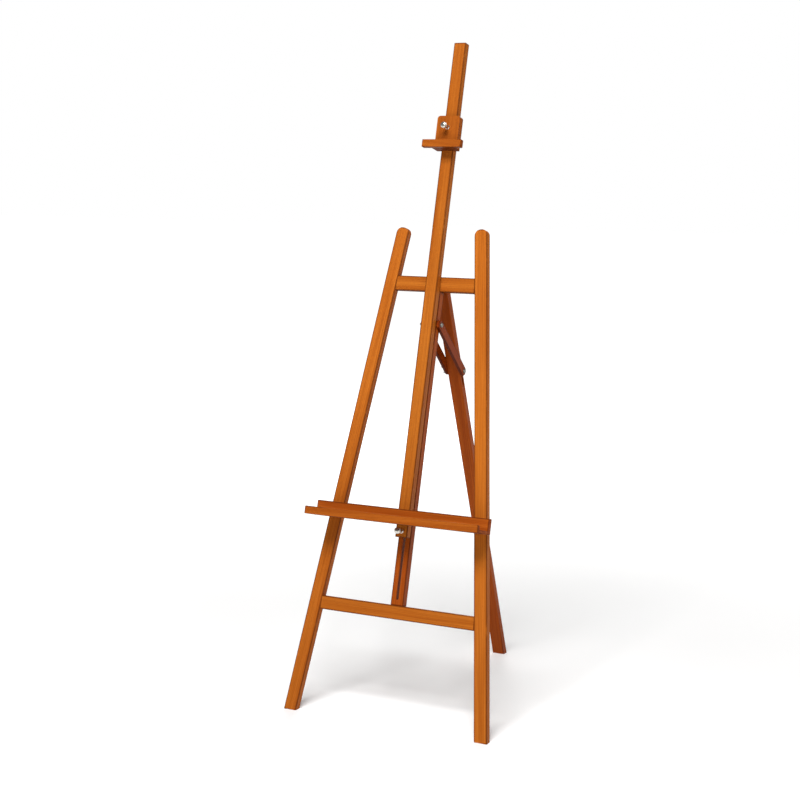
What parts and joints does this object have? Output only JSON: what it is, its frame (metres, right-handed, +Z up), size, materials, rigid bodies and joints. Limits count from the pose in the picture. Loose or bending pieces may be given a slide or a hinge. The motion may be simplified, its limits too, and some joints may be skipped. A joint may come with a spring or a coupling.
{
  "type": "artist easel",
  "caption": "Wooden A-frame studio easel: splayed front legs, crossbars, sliding mast with tray, canvas clamp, and a hinged back leg held by a folding brace.",
  "frame": {"origin": "on the floor, midway between the outer edges of the front feet and of the back foot, in the middle plane", "axes": "+X to the right when facing the easel, +Y to the rear, +Z up"},
  "size_m": [0.659, 0.8312, 1.9467],
  "materials": {
    "varnished_wood": "satin varnished hardwood, warm orange brown",
    "dowel_wood": "plain dowel",
    "polished_nickel": "polished nickel plate",
    "zinc_steel": "zinc-plated steel",
    "brass": "machined brass"
  },
  "bodies": {
    "frame": {"left_front_leg": "varnished_wood", "right_front_leg": "varnished_wood", "upper_crossbar": "varnished_wood", "lower_crossbar": "varnished_wood", "center_post": "varnished_wood", "upper_crossbar_dowels": "dowel_wood", "lower_crossbar_dowels": "dowel_wood", "center_post_dowels": "dowel_wood", "hinge_frame_leaf": "zinc_steel", "hinge_frame_screws": "zinc_steel", "hinge_pin": "zinc_steel", "brace_post_bolt": "zinc_steel", "brace_post_nut": "zinc_steel", "brace_post_washers": "zinc_steel"},
    "back_leg": {"back_leg": "varnished_wood", "hinge_leg_leaf": "zinc_steel", "hinge_leg_screws": "zinc_steel"},
    "brace": {"left_brace_arm": "varnished_wood", "right_brace_arm": "varnished_wood", "brace_leg_bolt": "zinc_steel", "brace_leg_washers": "zinc_steel", "brace_wing_nut": "zinc_steel"},
    "mast": {"mast": "varnished_wood", "mast_guide_screw": "zinc_steel", "mast_guide_washer": "zinc_steel", "mast_lock_nut": "zinc_steel", "tray_rail": "varnished_wood", "tray_bottom": "varnished_wood", "tray_lip": "varnished_wood", "tray_rail_screws": "zinc_steel", "tray_board_dowels": "dowel_wood"},
    "mast_lock": {"mast_lock_bolt": "zinc_steel", "mast_lock_knob": "polished_nickel"},
    "clamp": {"clamp_block": "varnished_wood", "clamp_ledge": "varnished_wood", "clamp_ledge_dowels": "dowel_wood", "clamp_insert": "brass", "clamp_strap": "zinc_steel", "clamp_strap_screws": "zinc_steel"},
    "clamp_lock": {"clamp_screw": "zinc_steel", "clamp_knob": "polished_nickel"}
  },
  "joints": [
    {"name": "back_leg_fold", "type": "hinge", "parent": "frame", "child": "back_leg", "pos_m": [0, -0.06845, 1.24871], "axis": [1, 0, 0], "range_deg": [-34.5, 0]},
    {"name": "brace_fold", "type": "hinge", "parent": "frame", "child": "brace", "pos_m": [0, -0.11105, 1.12752], "axis": [1, 0, 0], "range_deg": [-53.77, 0.2]},
    {"name": "mast_slide", "type": "slide", "parent": "frame", "child": "mast", "axis": [0, 0.2504, 0.9681], "range_m": [-0.18, 0.21]},
    {"name": "mast_lock_turn", "type": "hinge", "parent": "mast", "child": "mast_lock", "pos_m": [0, -0.26499, 0.53829], "axis": [0, -0.9681, 0.2504], "range_deg": [0, 720]},
    {"name": "clamp_slide", "type": "slide", "parent": "mast", "child": "clamp", "axis": [0, 0.2504, 0.9681], "range_m": [-0.15, 0.22]},
    {"name": "clamp_screw_turn", "type": "hinge", "parent": "clamp", "child": "clamp_lock", "pos_m": [0, 0.03197, 1.68651], "axis": [0, -0.9681, 0.2504], "range_deg": [0, 720]}
  ],
  "couplings": [
    {"joint": "brace_fold", "follows": "back_leg_fold", "ratio": 1.55}
  ]
}
